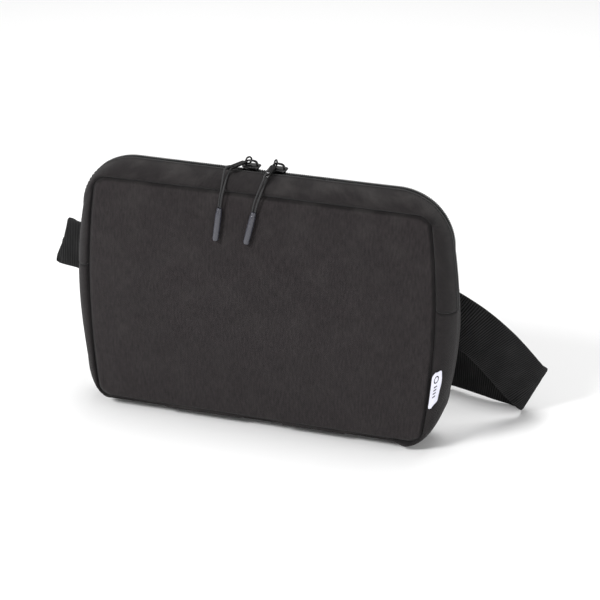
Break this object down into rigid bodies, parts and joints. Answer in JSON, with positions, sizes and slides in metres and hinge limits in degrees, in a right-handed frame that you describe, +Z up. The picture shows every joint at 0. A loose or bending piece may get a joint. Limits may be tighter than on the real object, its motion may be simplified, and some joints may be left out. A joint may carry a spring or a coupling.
{
  "type": "belt bag",
  "caption": "Flat rectangular belt bag with padded panels, a top zip with corded pulls, and a webbing belt joined by a side-release buckle.",
  "frame": {"origin": "on the floor under the middle of the bag, at the middle of the flat strip that the gusset stands on", "axes": "+X to the wearer's left as the front is seen (right in a front view), +Y from the front panel to the back panel, +Z up"},
  "size_m": [0.3574, 0.1174, 0.1896],
  "materials": {
    "shell_fabric": "plain-woven polyester, matt",
    "gusset_fabric": "plain-woven polyester, matt",
    "lining_fabric": "thin smooth woven lining",
    "foam_padding": "closed-cell foam sheet, dull",
    "zip_tape": "herringbone woven tape",
    "zip_coil": "nylon monofilament coil",
    "slider_metal": "black enamelled die-casting, worn at the edges",
    "pull_cord": "braided cord",
    "cord_tip": "soft moulded tip, satin",
    "label_weave": "folded satin-woven label, blank apart from a plain ring of arrows",
    "belt_webbing": "ribbed polyester webbing",
    "buckle_plastic": "moulded acetal, finely grained",
    "keeper_elastic": "flat woven elastic"
  },
  "bodies": {
    "bag": {"front_panel": "shell_fabric", "back_panel": "shell_fabric", "gusset_band": "gusset_fabric", "zip_flap_front": "gusset_fabric", "zip_flap_rear": "gusset_fabric", "front_lining": "lining_fabric", "back_lining": "lining_fabric", "gusset_lining": "lining_fabric", "seam_binding_front": "lining_fabric", "seam_binding_rear": "lining_fabric", "front_foam": "foam_padding", "back_foam": "foam_padding", "zip_tape_front": "zip_tape", "zip_tape_rear": "zip_tape", "zip_coil_front": "zip_coil", "zip_coil_rear": "zip_coil", "side_label": "label_weave", "belt_right": "belt_webbing", "belt_left": "belt_webbing", "buckle_female": "buckle_plastic", "buckle_male": "buckle_plastic"},
    "slider_left": {"slider_left": "slider_metal"},
    "slider_right": {"slider_right": "slider_metal"},
    "pull_tab_left": {"pull_tab_left": "slider_metal"},
    "pull_tab_right": {"pull_tab_right": "slider_metal"},
    "pull_cord_left": {"pull_cord_left": "pull_cord", "cord_tip_left": "cord_tip"},
    "pull_cord_right": {"pull_cord_right": "pull_cord", "cord_tip_right": "cord_tip"},
    "prong_upper": {"buckle_prong_upper": "buckle_plastic"},
    "prong_lower": {"buckle_prong_lower": "buckle_plastic"},
    "keeper": {"strap_keeper": "keeper_elastic"}
  },
  "joints": [
    {"name": "slider_left_travel", "type": "slide", "parent": "bag", "child": "slider_left", "axis": [-1, 0, 0], "range_m": [0, 0.07]},
    {"name": "slider_right_travel", "type": "slide", "parent": "bag", "child": "slider_right", "axis": [1, 0, 0], "range_m": [0, 0.073]},
    {"name": "pull_tab_left_flop", "type": "hinge", "parent": "slider_left", "child": "pull_tab_left", "pos_m": [-0.013, 0, 0.1868], "axis": [-0.7848, 0.6198, 0], "range_deg": [0, 195]},
    {"name": "pull_tab_right_flop", "type": "hinge", "parent": "slider_right", "child": "pull_tab_right", "pos_m": [0.0055, 0, 0.1868], "axis": [-0.9928, 0.12, 0], "range_deg": [0, 205]},
    {"name": "pull_cord_left_swing", "type": "hinge", "parent": "pull_tab_left", "child": "pull_cord_left", "pos_m": [-0.02278, -0.01238, 0.18409], "axis": [-0.7848, 0.6198, 0], "range_deg": [0, 70]},
    {"name": "pull_cord_right_swing", "type": "hinge", "parent": "pull_tab_right", "child": "pull_cord_right", "pos_m": [0.00364, -0.01535, 0.18269], "axis": [-0.9928, 0.12, 0], "range_deg": [0, 70]},
    {"name": "prong_upper_squeeze", "type": "hinge", "parent": "bag", "child": "prong_upper", "pos_m": [-0.0135, 0.073, 0.0368], "axis": [0, -1, 0], "range_deg": [0, 8], "stiffness_Nm_per_rad": 0.2},
    {"name": "prong_lower_squeeze", "type": "hinge", "parent": "bag", "child": "prong_lower", "pos_m": [-0.0135, 0.073, 0.0104], "axis": [0, 1, 0], "range_deg": [0, 8], "stiffness_Nm_per_rad": 0.2},
    {"name": "keeper_slide", "type": "slide", "parent": "bag", "child": "keeper", "axis": [1, 0, 0], "range_m": [-0.012, 0.012]}
  ]
}
